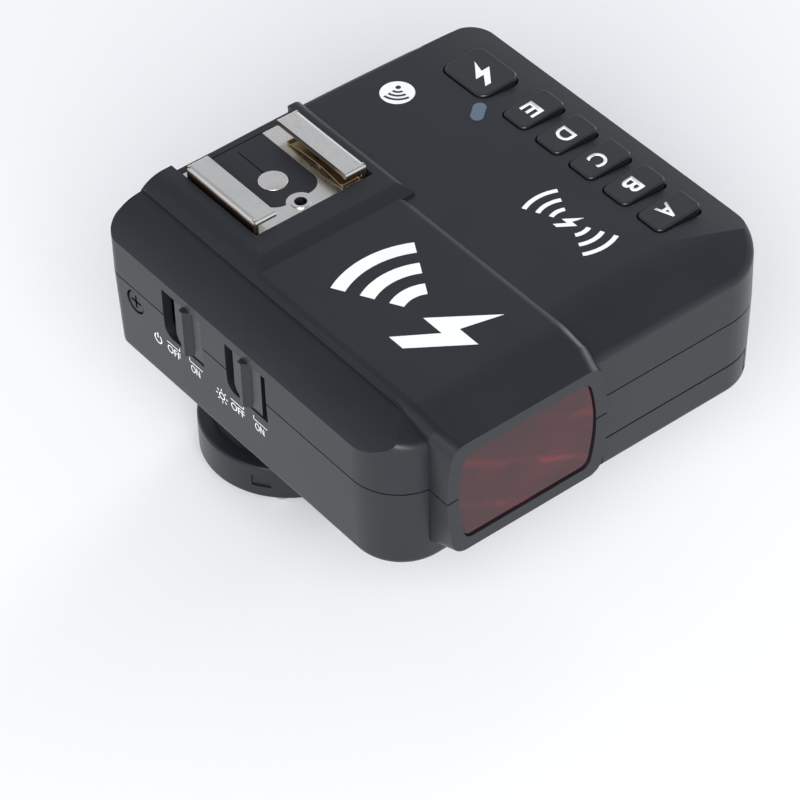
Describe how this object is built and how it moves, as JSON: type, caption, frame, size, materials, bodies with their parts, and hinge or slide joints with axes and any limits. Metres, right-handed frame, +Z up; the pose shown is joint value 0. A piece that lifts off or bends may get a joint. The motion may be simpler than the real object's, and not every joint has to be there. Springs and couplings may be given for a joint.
{
  "type": "wireless flash trigger",
  "caption": "Shoe-mounted radio flash trigger: wedge-topped case with accessory shoe, red focus-lamp window, group keys, side switches, display, select dial and locking foot.",
  "frame": {"origin": "centre of the foot plate's underside, on the axis of the foot and under the accessory shoe", "axes": "+Z up from the camera's shoe to the accessory shoe, -Y towards the red window at the front, +X towards the group keys"},
  "size_m": [0.0726, 0.0758, 0.0585],
  "materials": {
    "case_plastic": "fine-grained satin black moulding",
    "key_plastic": "satin black keys with polished edges",
    "inner_plastic": "plain black moulding",
    "red_window": "polished deep red, see-through to infrared and red light",
    "clear_plastic": "clear moulded lens barrels",
    "lamp_lens": "smoky blue-grey light guide",
    "display_glass": "polished cover",
    "display_film": "grey-green reflective display",
    "circuit_board": "green solder mask",
    "nickel_sheet": "nickel-plated sheet",
    "spring_bronze": "darkened spring bronze",
    "gold_contact": "gold-plated, polished",
    "screw_steel": "blackened steel",
    "foot_metal": "black anodised",
    "cell_jacket": "printed metal jacket"
  },
  "bodies": {
    "root": {"top_housing": "case_plastic", "bottom_housing": "case_plastic", "case_screws": "screw_steel", "red_window": "red_window", "focus_lamp_board": "circuit_board", "focus_lamp_barrels": "clear_plastic", "shoe_rails": "nickel_sheet", "shoe_insulator": "case_plastic", "shoe_centre_contact": "nickel_sheet", "shoe_leaf_spring": "spring_bronze", "status_lamp": "lamp_lens", "power_switch": "inner_plastic", "beam_switch": "inner_plastic", "display_window": "display_glass", "display_module": "display_film", "back_board": "circuit_board", "back_key_switches": "inner_plastic", "dial_encoder": "inner_plastic", "main_board": "circuit_board", "board_chips": "inner_plastic", "antenna": "circuit_board", "key_board": "circuit_board", "key_switches": "inner_plastic", "battery_cell_1": "cell_jacket", "battery_cell_2": "cell_jacket", "battery_contacts": "nickel_sheet", "sync_jack": "inner_plastic", "usb_socket": "nickel_sheet", "foot_neck": "case_plastic", "foot_plate": "foot_metal", "foot_screws": "screw_steel"},
    "battery_door": {"battery_door": "case_plastic"},
    "power_knob": {"power_knob": "key_plastic"},
    "beam_knob": {"beam_knob": "key_plastic"},
    "test_key": {"test_key": "key_plastic"},
    "select_dial": {"select_dial": "key_plastic"},
    "set_key": {"set_key": "key_plastic"},
    "lock_ring": {"lock_ring": "case_plastic"},
    "lock_pin": {"lock_pin": "screw_steel"},
    "group_key_a": {"group_key_a": "key_plastic"},
    "group_key_b": {"group_key_b": "key_plastic"},
    "group_key_c": {"group_key_c": "key_plastic"},
    "group_key_d": {"group_key_d": "key_plastic"},
    "group_key_e": {"group_key_e": "key_plastic"},
    "back_key_1": {"back_key_1": "key_plastic"},
    "back_key_2": {"back_key_2": "key_plastic"},
    "back_key_3": {"back_key_3": "key_plastic"},
    "back_key_4": {"back_key_4": "key_plastic"},
    "foot_contact_1": {"foot_contact_1": "gold_contact"},
    "foot_contact_2": {"foot_contact_2": "gold_contact"},
    "foot_contact_3": {"foot_contact_3": "gold_contact"},
    "foot_contact_4": {"foot_contact_4": "gold_contact"},
    "foot_contact_5": {"foot_contact_5": "gold_contact"}
  },
  "joints": [
    {"name": "group_key_a_press", "type": "slide", "parent": "root", "child": "group_key_a", "axis": [0, 0, -1], "range_m": [0, 0.0005], "stiffness_N_per_m": 1500},
    {"name": "group_key_b_press", "type": "slide", "parent": "root", "child": "group_key_b", "axis": [0, 0, -1], "range_m": [0, 0.0005], "stiffness_N_per_m": 1500},
    {"name": "group_key_c_press", "type": "slide", "parent": "root", "child": "group_key_c", "axis": [0, 0, -1], "range_m": [0, 0.0005], "stiffness_N_per_m": 1500},
    {"name": "group_key_d_press", "type": "slide", "parent": "root", "child": "group_key_d", "axis": [0, 0, -1], "range_m": [0, 0.0005], "stiffness_N_per_m": 1500},
    {"name": "group_key_e_press", "type": "slide", "parent": "root", "child": "group_key_e", "axis": [0, 0, -1], "range_m": [0, 0.0005], "stiffness_N_per_m": 1500},
    {"name": "test_key_press", "type": "slide", "parent": "root", "child": "test_key", "axis": [0, 0, -1], "range_m": [0, 0.0005], "stiffness_N_per_m": 1500},
    {"name": "back_key_1_press", "type": "slide", "parent": "root", "child": "back_key_1", "axis": [0, -1, 0], "range_m": [0, 0.0004], "stiffness_N_per_m": 1500},
    {"name": "back_key_2_press", "type": "slide", "parent": "root", "child": "back_key_2", "axis": [0, -1, 0], "range_m": [0, 0.0004], "stiffness_N_per_m": 1500},
    {"name": "back_key_3_press", "type": "slide", "parent": "root", "child": "back_key_3", "axis": [0, -1, 0], "range_m": [0, 0.0004], "stiffness_N_per_m": 1500},
    {"name": "back_key_4_press", "type": "slide", "parent": "root", "child": "back_key_4", "axis": [0, -1, 0], "range_m": [0, 0.0004], "stiffness_N_per_m": 1500},
    {"name": "set_key_press", "type": "slide", "parent": "root", "child": "set_key", "axis": [0, -1, 0], "range_m": [0, 0.0005], "stiffness_N_per_m": 1500},
    {"name": "foot_contact_1_press", "type": "slide", "parent": "root", "child": "foot_contact_1", "axis": [0, 0, 1], "range_m": [0, 0.0005], "stiffness_N_per_m": 800},
    {"name": "foot_contact_2_press", "type": "slide", "parent": "root", "child": "foot_contact_2", "axis": [0, 0, 1], "range_m": [0, 0.0005], "stiffness_N_per_m": 800},
    {"name": "foot_contact_3_press", "type": "slide", "parent": "root", "child": "foot_contact_3", "axis": [0, 0, 1], "range_m": [0, 0.0005], "stiffness_N_per_m": 800},
    {"name": "foot_contact_4_press", "type": "slide", "parent": "root", "child": "foot_contact_4", "axis": [0, 0, 1], "range_m": [0, 0.0005], "stiffness_N_per_m": 800},
    {"name": "foot_contact_5_press", "type": "slide", "parent": "root", "child": "foot_contact_5", "axis": [0, 0, 1], "range_m": [0, 0.0005], "stiffness_N_per_m": 800},
    {"name": "power_knob_slide", "type": "slide", "parent": "root", "child": "power_knob", "axis": [0, -1, 0], "range_m": [-0.0023, 0]},
    {"name": "beam_knob_slide", "type": "slide", "parent": "root", "child": "beam_knob", "axis": [0, -1, 0], "range_m": [-0.0012, 0.0012]},
    {"name": "battery_door_slide", "type": "slide", "parent": "root", "child": "battery_door", "axis": [0, -1, 0], "range_m": [0, 0.005]},
    {"name": "select_dial_turn", "type": "hinge", "parent": "root", "child": "select_dial", "pos_m": [-0.0106, 0.012, 0.0424], "axis": [0, 1, 0], "continuous": true},
    {"name": "lock_ring_turn", "type": "hinge", "parent": "root", "child": "lock_ring", "pos_m": [0, 0, 0.006], "axis": [0, 0, 1], "range_deg": [0, 60]},
    {"name": "lock_pin_drop", "type": "slide", "parent": "root", "child": "lock_pin", "axis": [0, 0, -1], "range_m": [0, 0.0012]}
  ],
  "couplings": [
    {"joint": "lock_pin_drop", "follows": "lock_ring_turn", "m_per_rad": 0.0011448}
  ]
}
